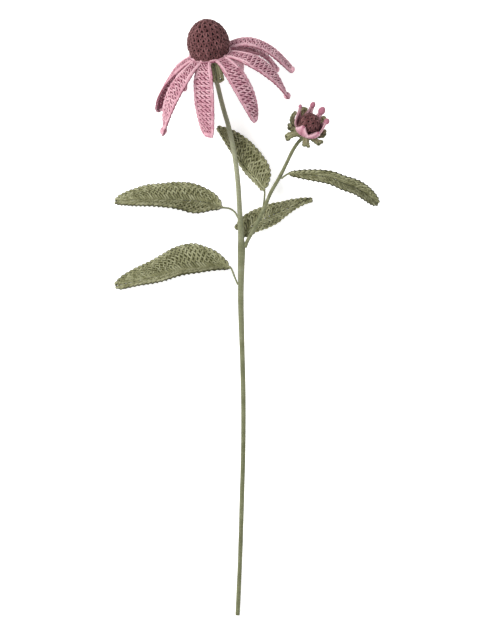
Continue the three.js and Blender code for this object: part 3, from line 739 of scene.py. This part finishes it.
# stalk: the covered wire up to the blade. middle: the midrib from base to tip. halves: stations of
# [s, left, right], the widths seen from above on the left and right of the way to the tip. fold: how far each
# edge rises, as a share of the wider half.
LEAVES = [
    {
        "stalk": [[-7.2, 75.7, 25.6], [-9.2, 79.5, 26.2], [-13.1, 82.4, 26.8]],
        "middle": [
            [-18.9, 83.4, 27], [-33.4, 87.4, 28.2], [-50.6, 88.7, 28.2], [-63.4, 88.9, 26.5],
            [-80.6, 89.1, 20.5], [-99.9, 88.3, 9],
        ],
        "halves": [
            [0, 1.7, 1.7], [0.08, 4.2, 7.3], [0.17, 8, 10.4], [0.26, 9.2, 12.9], [0.39, 6.7, 13.8],
            [0.55, 4.9, 12.4], [0.66, 4.6, 11.5], [0.77, 4.2, 9.2], [0.88, 3.1, 6.8], [0.96, 2.4, 4],
            [1, 1.2, 1.2],
        ],
        "fold": [0.7, 0.2],
    },
    {
        "stalk": [[-7.2, 25.4, 21.6], [-9.6, 31, 22], [-11.5, 36, 22.3]],
        "middle": [
            [-12.9, 38.3, 22.2], [-25.9, 38.8, 22.4], [-37.1, 37.7, 20.8], [-48.8, 36.4, 18],
            [-67.9, 31.5, 11.5], [-84.4, 28.1, 5.5], [-100.2, 24.6, 1.8],
        ],
        "halves": [
            [0, 1.7, 1.7], [0.07, 1.8, 7.8], [0.15, 2.6, 13.6], [0.27, 3.2, 18.9], [0.4, 3.6, 18.4],
            [0.55, 4.2, 14.9], [0.66, 4.1, 12.8], [0.8, 3.5, 9.8], [0.9, 3.6, 7.2], [0.96, 3.4, 4.6],
            [1, 1.2, 1.2],
        ],
        "fold": [0.45, 0.12],
    },
    {
        "stalk": [[11.9, 84.3, 27.1], [12.6, 89.4, 26.6]],
        "middle": [
            [12.6, 96.4, 25.6], [7.5, 103.2, 24.2], [0.3, 111.6, 22.2], [-6, 119.8, 20.4], [-12.3, 128, 18.6],
            [-17.8, 136.6, 16], [-23, 144.8, 12.8],
        ],
        "halves": [
            [0, 1.7, 1.7], [0.1, 1.4, 10], [0.2, 2, 14.2], [0.35, 2.2, 15.7], [0.5, 1.5, 15.4],
            [0.65, 0.7, 14], [0.8, 0.5, 10.6], [0.92, 0.7, 5.4], [1, 1, 1],
        ],
        "fold": [-0.6, -0.12],
    },
    {
        "stalk": [[25.3, 104.9, 28.6], [27.8, 106.9, 29.1]],
        "middle": [
            [31.1, 108.7, 29.5], [41.6, 107.8, 31], [62.6, 105.4, 31.5], [72.4, 101.2, 28.6],
            [82.1, 97.5, 24], [90.4, 92.6, 18], [98.3, 86.8, 11],
        ],
        "halves": [
            [0, 1.7, 1.7], [0.07, 2.6, 2.3], [0.15, 3.7, 3.2], [0.3, 4.7, 4.5], [0.45, 5.1, 5.1],
            [0.6, 6.1, 4.8], [0.75, 6, 4.6], [0.88, 4.6, 4.2], [0.95, 3.2, 3.2], [1, 1.2, 1.2],
        ],
        "fold": [0.7, 0.95],
    },
    {
        "stalk": [[-4.6, 56.4, 22.1], [-3.9, 59, 20.4]],
        "middle": [
            [-2.5, 61.9, 18.6], [4.2, 70.4, 17.8], [13.9, 75.8, 16.4], [28.1, 82.1, 12.6], [39.4, 86.7, 7.6],
            [49.6, 90.2, 2.6],
        ],
        "halves": [
            [0, 8, 1.7], [0.04, 10, 2.6], [0.12, 10.2, 4.8], [0.26, 9.4, 7], [0.46, 8.6, 7.2],
            [0.6, 6.9, 4.7], [0.78, 4.9, 2.1], [0.9, 3.3, 1.4], [1, 1.2, 1.2],
        ],
        "fold": [-0.25, -0.4],
    },
]
FOLD_CURVE = 1.2


def leaf_surface(leaf):
    s, q = sheet_stations(along=121, across=41)
    centres = evenly(smooth(leaf["middle"]), len(s))
    tangent = heading(centres)
    left = unit(np.stack([-tangent[:, 1], tangent[:, 0], 0 * tangent[:, 0]], axis=-1))
    up = np.cross(tangent, left)
    halves = np.stack([through(leaf["halves"], 1, s), through(leaf["halves"], 2, s)])
    wide = halves.max(axis=0)
    side = (q <= 0).astype(int)
    reach = halves[side].T * q
    rise = np.array(leaf["fold"])[side] * wide[:, None] * np.abs(q) ** FOLD_CURVE
    grid = centres[:, None] + left[:, None] * reach[..., None] + up[:, None] * rise[..., None]
    return Surface(grid, s, q)


# In millimetres: half the width of the midrib's chain, the width of the edge, and the height of a row. The
# row of posts is as high as FIRST_ROW rows.
RIB = 0.8
LEAF_EDGE = 2.7
ROW_HEIGHT = 3.1
FIRST_ROW = 1.35
POSTS = {"pitch": 2.1, "shape": POST, "mirror": False, "lean": 0.8, "ends": (0.03, 0.97)}
LEGS = {"pitch": 3.4, "shape": LEG, "mirror": True, "lean": 0.4, "ends": (0.03, 0.97)}


def make_leaf_rows(yarn, surface, side):
    """Rows of stitches from the midrib's chain to the edge: tall slanted posts, and then Vs."""
    rows = max(int(round((surface.half(side, surface.s).max() - RIB - LEAF_EDGE) / ROW_HEIGHT)), 1)
    starts = [0, *(np.arange(rows - 1) + FIRST_ROW), rows - 1 + FIRST_ROW]
    for row, (low, high) in enumerate(zip(starts, starts[1:])):
        lines = (band_line(surface, side, at / starts[-1], RIB, LEAF_EDGE) for at in (low, high))
        stitch_row(yarn, surface, *lines, radius=LEAF_YARN, **(LEGS if row else POSTS))


# The dark sheets of painted shade inside a leaf, leaving a gap along the midrib
LEAF_CORE_SIDES = [(-0.95, -0.035), (0.035, 0.95)]

# The covered wire of a leaf, and how far it runs into the blade
STALK_RADIUS = 0.75
STALK_PITCH = 0.8
WIRE_IN_BLADE = 8


def stalk_radius(centres):
    return np.full(len(centres), STALK_RADIUS)


def make_leaf(number, leaf):
    surface = leaf_surface(leaf)
    yarn = Yarn()
    for side in (1, -1):
        make_leaf_rows(yarn, surface, side)
    middle_row(yarn, surface, LEAF_STITCH, width=2.2, radius=LEAF_YARN * 0.8, ends=(0.0, 0.97))
    edge_row(yarn, surface, LEAF_EDGE / 2, LEAF_STITCH, width=2.6, radius=LEAF_YARN * 1.1, legs=TEETH)
    name = f"leaf_{number}"
    sheets = [core_sheet(surface, half=0.35, s_range=(0.02, 0.97), q_range=side) for side in LEAF_CORE_SIDES]
    show_fabric(name, yarn, sheets, "leaf_yarn", f"{name}_blade")
    in_blade = at_lengths(smooth(leaf["middle"]), [0, WIRE_IN_BLADE / 2, WIRE_IN_BLADE])
    stalk = smooth([*leaf["stalk"], *in_blade])
    wrapped(f"{name}_stalk", stalk, stalk_radius, f"{name}_wire", STALK_PITCH, PLAIN_SHADE)


for number, leaf in enumerate(LEAVES, 1):
    make_leaf(number, leaf)

# Domes

# foot is the height of the rim on the head's axis, pitch the width of a stitch, and inset the depth of the
# fabric, which the relief of the stitches makes up for.
CONE = {
    "rim": 14.5, "belly": 15.8, "bellyHeight": 6.5, "height": 26.2, "foot": 0,
    "rounds": 9, "pitch": 3.6, "yarn": 0.86, "inset": 1.1,
}
BUD_CORE = {
    "rim": 7.3, "belly": 8.5, "bellyHeight": 5.2, "height": 15, "foot": 5.6,
    "rounds": 5, "pitch": 3.3, "yarn": 0.95, "inset": 1.8,
}
BELLY_SHARE = 0.3
POINTEDNESS = 1.05

# Each round is turned by a share of a stitch from the one below
DOME_DRIFT = 0.04
LEAST_STITCHES = 5
DOME_WOBBLE = WOBBLE * 1.4
NEAREST_AXIS = 0.15

# A wavy cord runs under each round: its radii are shares of the yarn's
RIM_CORD = 1.4
ROUND_CORD = 0.85
ROUND_CORD_WAVE = 0.15

# The dark inside, which is painted shade, lies deeper than the stitches
CORE_UNDER = 0.6
DEEPEST_CORE = 1.9
CORE_RINGS = 24
CORE_SIDES = 40


def dome_profile(size, t, inset):
    """Radius and height on a dome, from its rim at t = 0 to its top at t = 1."""
    under_belly = t < BELLY_SHARE
    low = t / BELLY_SHARE
    angle = (t - BELLY_SHARE) / (1 - BELLY_SHARE) * np.pi / 2
    rim = size["rim"] + (size["belly"] - size["rim"]) * np.sin(low * np.pi / 2)
    cap = size["belly"] * np.maximum(np.cos(angle), 0) ** POINTEDNESS
    cap_height = size["bellyHeight"] + (size["height"] - size["bellyHeight"]) * np.sin(angle)
    height = np.where(under_belly, size["bellyHeight"] * low, cap_height - inset * np.sin(angle))
    return np.maximum(np.where(under_belly, rim, cap) - inset, 0), height + size["foot"]


def dome_rounds(yarn, head, size):
    """Rounds of V stitches up a dome, each over a cord."""
    rim, height = dome_profile(size, np.linspace(0, 1, 400), size["inset"])
    along = lengths_along(np.stack([rim, height, 0 * rim], axis=-1))
    slope = unit(np.stack([np.gradient(height), -np.gradient(rim)], axis=-1))
    leg = np.array(DOME_LEG)

    def on_dome(reach, turn, depth):
        """Points and ways out at lengths up the dome, azimuths and depths."""
        reach = np.clip(reach, 0, along[-1])
        flat, rise = np.interp(reach, along, slope[:, 0]), np.interp(reach, along, slope[:, 1])
        r = np.maximum(np.interp(reach, along, rim) + depth * flat, NEAREST_AXIS)
        place = head.place(polar(r, turn, np.interp(reach, along, height) + depth * rise))
        return place, polar(flat, turn, rise) @ head.turn

    for n in range(size["rounds"]):
        low, high = along[-1] * n / size["rounds"], along[-1] * (n + 1) / size["rounds"]
        round_way = 2 * np.pi * np.interp((low + high) / 2, along, rim)
        count = max(int(round(round_way / size["pitch"])), LEAST_STITCHES)
        for side in (1, -1):
            x = np.arange(count)[:, None] + DOME_DRIFT * n + side * leg[:, 0]
            turn = x / count * 360
            depth = leg[:, 2] + 0 * turn
            places, ups = on_dome(low + (high - low) * leg[:, 1] + 0 * turn, turn, depth)
            places = places + rng.normal(0, DOME_WOBBLE, places.shape)
            strand = (size["yarn"] * rng.uniform(*STRAND_SPREAD, count))[:, None]
            lay(yarn, places, ups, depth, strand, rng.uniform(0, 1, count))
        turn = np.linspace(0, 360, 97)
        wave = ROUND_CORD_WAVE * np.sin(np.radians(turn) * count)
        places, ups = on_dome(low + 0 * turn, turn, wave)
        yarn.add(places[None], size["yarn"] * (ROUND_CORD if n else RIM_CORD), up=ups[None], tone=CORD_TONE)


def dome_core(head, size):
    """The dark inside of a dome: painted shade seen between its stitches."""
    inset = min(size["inset"] + CORE_UNDER, DEEPEST_CORE)
    radii, heights = dome_profile(size, np.linspace(0, 1, CORE_RINGS), inset)
    points = polar(radii[:, None], np.arange(CORE_SIDES) * 360 / CORE_SIDES, heights[:, None])
    base = np.arange(CORE_RINGS * CORE_SIDES).reshape(CORE_RINGS, CORE_SIDES)
    after = np.roll(base, -1, axis=1)
    quads = np.stack([base[:-1], after[:-1], after[1:], base[1:]], axis=-1).reshape(-1, 4)
    return mesh_of(head.place(points.reshape(-1, 3)), quads)


def make_dome(name, head, size, node):
    yarn = Yarn()
    dome_rounds(yarn, head, size)
    piece = show(name, yarn.mesh(), YARNS, "cone_yarn", node)
    show(f"{name}_core", dome_core(head, size), SHADE_CORES, "cone_yarn", node)


make_dome("cone_stitches", bloom, CONE, "cone_shell")
make_dome("bud_core_stitches", bud, BUD_CORE, "bud_shell")

# Petals of the bloom

# [azimuth at the root, azimuth at the tip, tip radius, tip height, early drop, slope of the tip]
PETALS = [
    [187, 169, 43.8, -45, 4.5, 0.06], [224, 212.5, 54, -45, 2, 0.06], [249, 245, 32, -55, 0, 0.06],
    [297, 303.5, 44, -45, -1.5, 0.06], [333, 339.7, 54, -40.8, 0, 0.06], [20, 7, 59.2, -33, -6, 0.2],
    [30, 21, 50.5, -36, 8, 0.06], [74, 56, 39.5, -36, 1, 0.06], [108, 98, 42, -42, 1, 0.06],
    [144, 134, 40, -42, 14, 0.06],
]
PETAL_ROOT = (13, -1.5)
LATE_DROP = 0.45
PETAL_CUP = 0.8
PETAL_HALF_WIDTHS = [
    [0, 4], [0.14, 4.6], [0.3, 6.4], [0.5, 7.4], [0.7, 7.4], [0.86, 6.4], [0.95, 5.5], [1, 3.9],
]

# The petals on the bud's side, this near to azimuth 0, are wider near the bloom and slimmer at the tip
WIDE_PETALS = 40
WIDER = [[0, 1.15], [0.3, 1.18], [0.6, 1.06], [0.85, 0.82], [1, 0.62]]

# Millimetres that the middle of a petal stays over the table, and over which it bends to lie along it
TABLE_CLEAR = 1.5
SOFTNESS = 3


def lay_on_table(points, head):
    """A soft floor: points that would hang below the table lie along it instead."""
    world = head.place(points)
    over = world[..., 2] - TABLE_CLEAR
    span = np.hypot(over, SOFTNESS)
    world[..., 2] = TABLE_CLEAR + (over + span) / 2 - SOFTNESS**2 / (4 * span)
    return world


def petal_surface(petal):
    root_azimuth, tip_azimuth, tip_radius, tip_height, drop, slope = petal
    s, q = sheet_stations(along=81, across=21)
    root, foot = PETAL_ROOT
    reach = tip_radius - root
    radius = bezier(root, root + reach / 2, tip_radius - reach * slope, tip_radius, s)
    height = bezier(foot, foot - drop, tip_height * LATE_DROP, tip_height, s)
    line = polar(radius, root_azimuth + (tip_azimuth - root_azimuth) * s, height)
    tangent = heading(line)
    across = unit(np.stack([-tangent[:, 1], tangent[:, 0], 0 * s], axis=-1))
    out = np.cross(tangent, across)
    half = through(PETAL_HALF_WIDTHS, 1, s)
    if abs((root_azimuth + 180) % 360 - 180) < WIDE_PETALS:
        half = half * through(WIDER, 1, s)
    grid = line[:, None] + across[:, None] * (half[:, None] * q)[..., None]
    grid = grid - out[:, None] * (PETAL_CUP * q * q)[None, :, None]
    return Surface(lay_on_table(grid, bloom), s, q)


PETAL_EDGE = 1.7
PETAL_COLUMNS = 3
COLUMN = {"pitch": PETAL_STITCH, "shape": SLIM_LEG, "mirror": True, "lean": 0.4, "ends": (0.04, 0.96)}

# The radii of the knobs that lie across the tips, in the petals' order
PETAL_KNOBS = [1.5, 2.7, 1.6, 1.7, 2.7, 2.5, 2.4, 1.8, 1.8, 1.8]
KNOB_SPAN = 0.6
KNOB_PLACE = 0.97
KNOB_CURVE = 0.02
KNOB_THINNING = 0.5
KNOB_SAMPLES = 9
KNOB_SIDES = 10


def make_petal(number, surface):
    yarn = Yarn()
    limits = [band_line(surface, side, 1, 0, PETAL_EDGE) for side in (-1, 1)]

    def column_line(share):
        return lambda s: limits[0](s) * (1 - share) + limits[1](s) * share

    for column in range(PETAL_COLUMNS):
        lines = (column_line(share / PETAL_COLUMNS) for share in (column, column + 1))
        stitch_row(yarn, surface, *lines, radius=PETAL_YARN * 0.95, **COLUMN)
    edge_row(yarn, surface, inset=0.7, pitch=PETAL_STITCH, width=1.5, radius=PETAL_YARN * 1.04, legs=CHAIN)
    q = np.linspace(-KNOB_SPAN, KNOB_SPAN, KNOB_SAMPLES)
    knob = PETAL_KNOBS[number - 1] * (1 - KNOB_THINNING * (q / KNOB_SPAN) ** 4)
    line = surface.at(KNOB_PLACE - KNOB_CURVE * q * q, q)
    yarn.cord(line, knob, up=surface.out(KNOB_PLACE, q), sides=KNOB_SIDES)
    sheet = core_sheet(surface, half=0.4, s_range=(0.02, 0.97), q_range=(-0.9, 0.9))
    show_fabric(f"petal_{number}", yarn, [sheet], "pink_yarn", "bloom_petals")


petal_surfaces = [petal_surface(petal) for petal in PETALS]
for number, surface in enumerate(petal_surfaces, 1):
    make_petal(number, surface)

# The round that joins the petals

ARCH = {"radius": 14.2, "height": -0.8, "edge": 0.8, "lift": 0.6, "yarn": 1.05, "tone": 0.9}
ARCH_STATIONS = np.array([0.34, 0.2, 0.08, 0.02])
SPAN_SAMPLES = 6
RING_RADII = [14.3, 11.2, 8, 4.8]

# A bobble of yarn in the gap between the fourth and the fifth petal
BOBBLE = [bloom.place(polar(13, 316, -3)), [-5.5, 191, 36], [-4.0, 188.8, 34]]
BOBBLE_RADIUS = 1.7


def add_arches(yarn):
    """The rim of each petal runs on over the round into the rim of the next one."""
    order = sorted(range(len(PETALS)), key=lambda k: PETALS[k][0])
    for first, second in zip(order, order[1:] + order[:1]):
        gap = (PETALS[second][0] - PETALS[first][0]) % 360
        top = bloom.place(polar(ARCH["radius"], PETALS[first][0] + gap / 2, ARCH["height"]))
        before = petal_surfaces[first].at(ARCH_STATIONS, ARCH["edge"], ARCH["lift"])
        after = petal_surfaces[second].at(ARCH_STATIONS[::-1], -ARCH["edge"], ARCH["lift"])
        yarn.cord(smooth([*before, top, *after], SPAN_SAMPLES), ARCH["yarn"], ARCH["tone"])


def chain_rounds(yarn, head, radii, height, face, **chain):
    """Rounds of chain with the given radii. They face up where face is 1, and down where it is -1."""
    turn = np.linspace(0, 360, 181)
    for radius in radii:
        line = head.place(polar(radius, turn, height))
        out = unit(line - head.on_axis(height))
        up = np.broadcast_to(face * head.turn[2], line.shape)
        chain_row(yarn, line, out, up, **chain)


def make_petal_ring():
    yarn = Yarn()
    chain = {"pitch": PETAL_STITCH, "width": 2.4, "radius": PETAL_YARN}
    chain_rounds(yarn, bloom, RING_RADII, height=-1.6, face=1, **chain)
    add_arches(yarn)
    yarn.cord(smooth(BOBBLE, SPAN_SAMPLES), BOBBLE_RADIUS)
    show("petal_ring", yarn.mesh(), YARNS, "pink_yarn", "bloom_petals")


make_petal_ring()

# Calyxes: green rounds with sepals, each a short thick chain

CALYX_INSET = 1.2
CALYX_STEP = 2.4
INNERMOST = 1.5

# The middle line of a sepal, from under the round to its tip
SEPAL_ROOT = 2
SEPAL_SPREAD = 0.95
SEPAL_BULGE = 0.6
SEPAL_FALL = 0.4
SEPAL_SAMPLES = 40

# The loop of cord round a sepal: shares of the way to the tip, the loop's half width there, and its bent end
SEPAL_LOOP = 1.8
LOOP_STATIONS = ([0, 0.5, 1], [1.5, 1.3, SEPAL_LOOP])
LOOP_BEND = 70
LOOP_SHORTER = 0.6
SIDE_SAMPLES = 24
SEPAL_YARN = 1.35
BUMP_SHARE = 0.13
BUMP_LENGTH = 2.7
MIDDLE_LIFT = 0.7


def sepal_line(azimuth, radius, foot, tip_radius, tip_height):
    s = np.linspace(0, 1, SEPAL_SAMPLES)
    start = radius - SEPAL_ROOT
    reach = tip_radius - start
    spread = bezier(start, start + reach * SEPAL_SPREAD, tip_radius + SEPAL_BULGE, tip_radius, s)
    rise = bezier(foot, foot, foot + (tip_height - foot) * SEPAL_FALL, tip_height, s)
    return polar(spread, azimuth, rise)


def make_sepal(yarn, head, line, across):
    """A bumpy loop of cord, and a lighter cord that fills it."""
    up = unit(np.cross(heading(line), across))[SEPAL_SAMPLES // 2]
    middle = evenly(line, SIDE_SAMPLES)
    apart = across * np.interp(np.linspace(0, 1, SIDE_SAMPLES), *LOOP_STATIONS)[:, None]
    forward = unit(line[-1] - line[-4])
    bend = np.radians(np.linspace(-LOOP_BEND, LOOP_BEND, 7))[:, None]
    turn = line[-1] + SEPAL_LOOP * (across * np.sin(bend) + forward * (np.cos(bend) - LOOP_SHORTER))
    loop = evenly(np.concatenate([middle - apart, turn, (middle + apart)[::-1]]), 56)
    bumps = SEPAL_YARN * (1 + BUMP_SHARE * np.sin(2 * np.pi * lengths_along(loop) / BUMP_LENGTH))
    yarn.cord(head.place(loop), bumps, tone=0.5, up=up @ head.turn)
    filling = head.place(middle + up * MIDDLE_LIFT)[:-3]
    yarn.cord(filling, SEPAL_YARN * 0.8, tone=0.85, up=up @ head.turn)


def make_calyx(name, head, sepals, radius, foot, node):
    """A round at the height foot, with sepals given as [azimuth, tip radius, tip height]."""
    yarn = Yarn()
    radii = np.arange(radius - CALYX_INSET, INNERMOST, -CALYX_STEP)
    chain_rounds(yarn, head, radii, foot, face=-1, pitch=3.2, width=2.2, radius=0.95)
    for azimuth, tip_radius, tip_height in sepals:
        line = sepal_line(azimuth, radius, foot, tip_radius, tip_height)
        make_sepal(yarn, head, line, polar(1, azimuth + 90, 0))
    show(name, yarn.mesh(), YARNS, "leaf_yarn", node)


SEPAL_AZIMUTHS = [232, 260, 290, 318, 0, 45, 90, 140, 185]

# [tip radius, tip height] of a sepal that doesn't droop, and what the most drooping one loses of each
LEVEL_SEPAL = (15.5, -11)
DROOP = (4.5, 9)
MOST_DROOP = 285
DROOP_POWER = 6


def bloom_sepals():
    for azimuth in SEPAL_AZIMUTHS:
        droop = ((1 + math.cos(math.radians(azimuth - MOST_DROOP))) / 2) ** DROOP_POWER
        yield azimuth, LEVEL_SEPAL[0] - DROOP[0] * droop, LEVEL_SEPAL[1] - DROOP[1] * droop


BUD_SEPALS = [
    [20, 13.6, 6.5], [-17, 14.2, 3], [-69, 14.3, 1.5], [-133, 14.6, -2.5], [-163, 13.2, 3.5], [170, 13.8, 11],
    [128, 14.2, 12], [56, 14.4, 12],
]
make_calyx("bloom_sepals", bloom, bloom_sepals(), radius=8, foot=-4.2, node="bloom_calyx")
make_calyx("bud_sepals", bud, BUD_SEPALS, radius=7, foot=1.4, node="bud_calyx")

# Bud petals

BUD_CUP_RADIUS = 6.5
BUD_SPREAD = (4.5, 12, 10)
BUD_RISE = (3.9, 3.6, 10)
BUD_HALF_WIDTHS = [[0, 3.2], [0.25, 5.6], [0.5, 6.3], [0.7, 4], [0.85, 2.5], [1, 1.6]]

# The three at the back, beyond this azimuth, are slimmer above the cup
FINGER_HALF_WIDTHS = [[0, 3.2], [0.25, 5.4], [0.5, 4.4], [0.7, 2.3], [0.85, 1.7], [1, 1.5]]
BACK_AZIMUTH = 30

# [azimuth, tip radius, tip height, radius of the knob at the tip]
BUD_PETALS = [
    [165, 12.9, 21, 1.35], [111, 12.4, 22.5, 2.0], [71, 12, 22.5, 2.7], [15, 11.2, 21, 2.2],
    [-45, 13.2, 15, 1.1], [-103, 13, 16.5, 1.1],
]


def bud_petal_surface(azimuth, tip_radius, tip_height):
    s, q = sheet_stations(along=61, across=17)
    radius = bezier(*BUD_SPREAD, tip_radius, s)
    height = bezier(*BUD_RISE, tip_height, s)
    half = through(FINGER_HALF_WIDTHS if azimuth > BACK_AZIMUTH else BUD_HALF_WIDTHS, 1, s)
    turn = np.degrees(half[:, None] * q / np.maximum(radius, BUD_CUP_RADIUS)[:, None])
    return Surface(bud.place(polar(radius[:, None], azimuth + turn, height[:, None])), s, q)


# Bumpy cords run up each petal at these shares of its half width; their tones paint shade in the middle of a
# petal and are lighter to the sides
BUD_CORDS = np.linspace(-1, 1, 9)
BUD_CORD_SPAN = (0.1, 0.93)
BUD_CORD_INSET = 0.8
BUD_CORD_LIFT = 0.15
BUD_BUMPS = {"share": 0.08, "count": 7, "shift": 9}
BUD_PAINTED_SHADE = {"middle": -0.3, "rise": 1.3}

THINNEST = 0.5
BUD_KNOB = {"end": 0.99, "length": 0.16, "roundness": 0.6}


def add_bud_cords(yarn, surface):
    s = np.linspace(*BUD_CORD_SPAN, 30)
    half = (surface.half(1, s) + surface.half(-1, s)) / 2
    for share in BUD_CORDS:
        q = share * (1 - BUD_CORD_INSET / half)
        wave = np.sin(2 * np.pi * s * BUD_BUMPS["count"] + BUD_BUMPS["shift"] * share)
        bumps = PETAL_YARN * (1 + BUD_BUMPS["share"] * wave)
        tone = BUD_PAINTED_SHADE["rise"] * abs(share) + BUD_PAINTED_SHADE["middle"]
        yarn.cord(surface.at(s, q, BUD_CORD_LIFT * abs(share)), bumps, tone, surface.out(s, q))


def add_bud_knob(yarn, surface, knob):
    t = np.linspace(0, 1, KNOB_SAMPLES)
    swell = THINNEST + (knob - THINNEST) * np.sin(np.pi * t) ** BUD_KNOB["roundness"]
    line = surface.at(BUD_KNOB["end"] - BUD_KNOB["length"] * knob / 2 * (1 - t), 0)
    # The knob's low tone is painted shade
    yarn.cord(line, swell, tone=-0.6, sides=KNOB_SIDES)


def make_bud_petals():
    yarn = Yarn()
    sheets = []
    for azimuth, tip_radius, tip_height, knob in BUD_PETALS:
        surface = bud_petal_surface(azimuth, tip_radius, tip_height)
        add_bud_cords(yarn, surface)
        add_bud_knob(yarn, surface, knob)
        sheet = core_sheet(surface, half=0.4, s_range=(0.03, 0.9), q_range=(-0.88, 0.88), rows=24, cols=8)
        sheets.append(sheet)
    show_fabric("bud_petal", yarn, sheets, "pink_yarn", "bud_petals")


make_bud_petals()

# Wires and fillings, which keep their own solids


def steel_material():
    shader = Shader("drawn steel")
    stretch = shader.node("ShaderNodeMapping")
    shader.link(shader.node("ShaderNodeTexCoord").outputs["Object"], stretch.inputs["Vector"])
    stretch.inputs["Scale"].default_value = (1.0, 0.04, 1.0)
    lines = shader.noise(scale=3000.0, detail=2.0, vector=stretch.outputs["Vector"])
    shader.bump(lines, strength=0.3, distance=0.0001)
    colour = shader.mix(lines, linear((120, 122, 120)), linear((196, 198, 196)))
    return shader.finish(colour, {"Metallic": 1.0, "Roughness": 0.38})


def filling_material():
    shader = Shader("fibre filling")
    tufts = shader.noise(scale=500.0, detail=4.0)
    shader.bump(tufts, strength=1.0, distance=0.001)
    colour = shader.mix(tufts, linear((205, 200, 190)), linear((246, 243, 238)))
    return shader.finish(colour, {"Roughness": 1.0})


def refinish(material, *nodes):
    for node in nodes:
        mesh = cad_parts[node].data
        mesh.materials.clear()
        mesh.materials.append(material)


refinish(steel_material(), "stem_wire", "branch_wire")
refinish(filling_material(), "cone_filling", "bud_filling")

# Floor

FLOOR_HALF = 6000
FLOOR_GLOW = 0.6


def floor_material():
    """White that glows a little, so that shadows on it stay faint."""
    shader = Shader("floor")
    grain = shader.noise(scale=3.0, detail=2.0)
    colour = shader.mix(grain, (0.9, 0.9, 0.9, 1), (0.93, 0.93, 0.93, 1))
    glow = {"Emission Color": WHITE, "Emission Strength": FLOOR_GLOW}
    return shader.finish(colour, {"Roughness": 0.95, "Specular IOR Level": 0.1, **glow})


def make_floor():
    corners = [[-1, -1, 0], [1, -1, 0], [1, 1, 0], [-1, 1, 0]]
    mesh = mesh_of(np.array(corners, float) * FLOOR_HALF, np.array([[0, 1, 2, 3]]))
    mesh.materials.append(floor_material())
    floor = placed("floor", mesh)


make_floor()
